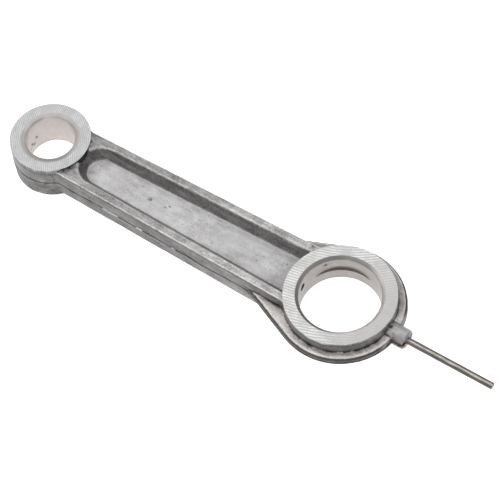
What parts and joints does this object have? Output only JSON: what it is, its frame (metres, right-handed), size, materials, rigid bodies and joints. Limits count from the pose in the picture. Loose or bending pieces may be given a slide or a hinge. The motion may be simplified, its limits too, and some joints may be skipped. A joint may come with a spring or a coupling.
{
  "type": "connecting rod",
  "caption": "Die-cast aluminium connecting rod with an I-section beam, plain crankpin and wrist pin eyes, and a steel splash-oiling dipper pressed into a lug.",
  "frame": {"origin": "centre of the crankpin bore, at mid-thickness of the rod", "axes": "+X along the rod from the crankpin bore to the wrist pin bore, +Z along the axis of both bores; the oil dipper points along -X"},
  "size_m": [0.2206, 0.0516, 0.017],
  "materials": {
    "cast_aluminium": "die-cast skin, satin, with milled ring faces and bored holes",
    "dipper_steel": "drawn steel wire, dull, lightly oiled"
  },
  "bodies": {
    "root": {"rod_casting": "cast_aluminium", "oil_dipper": "dipper_steel"}
  },
  "joints": []
}
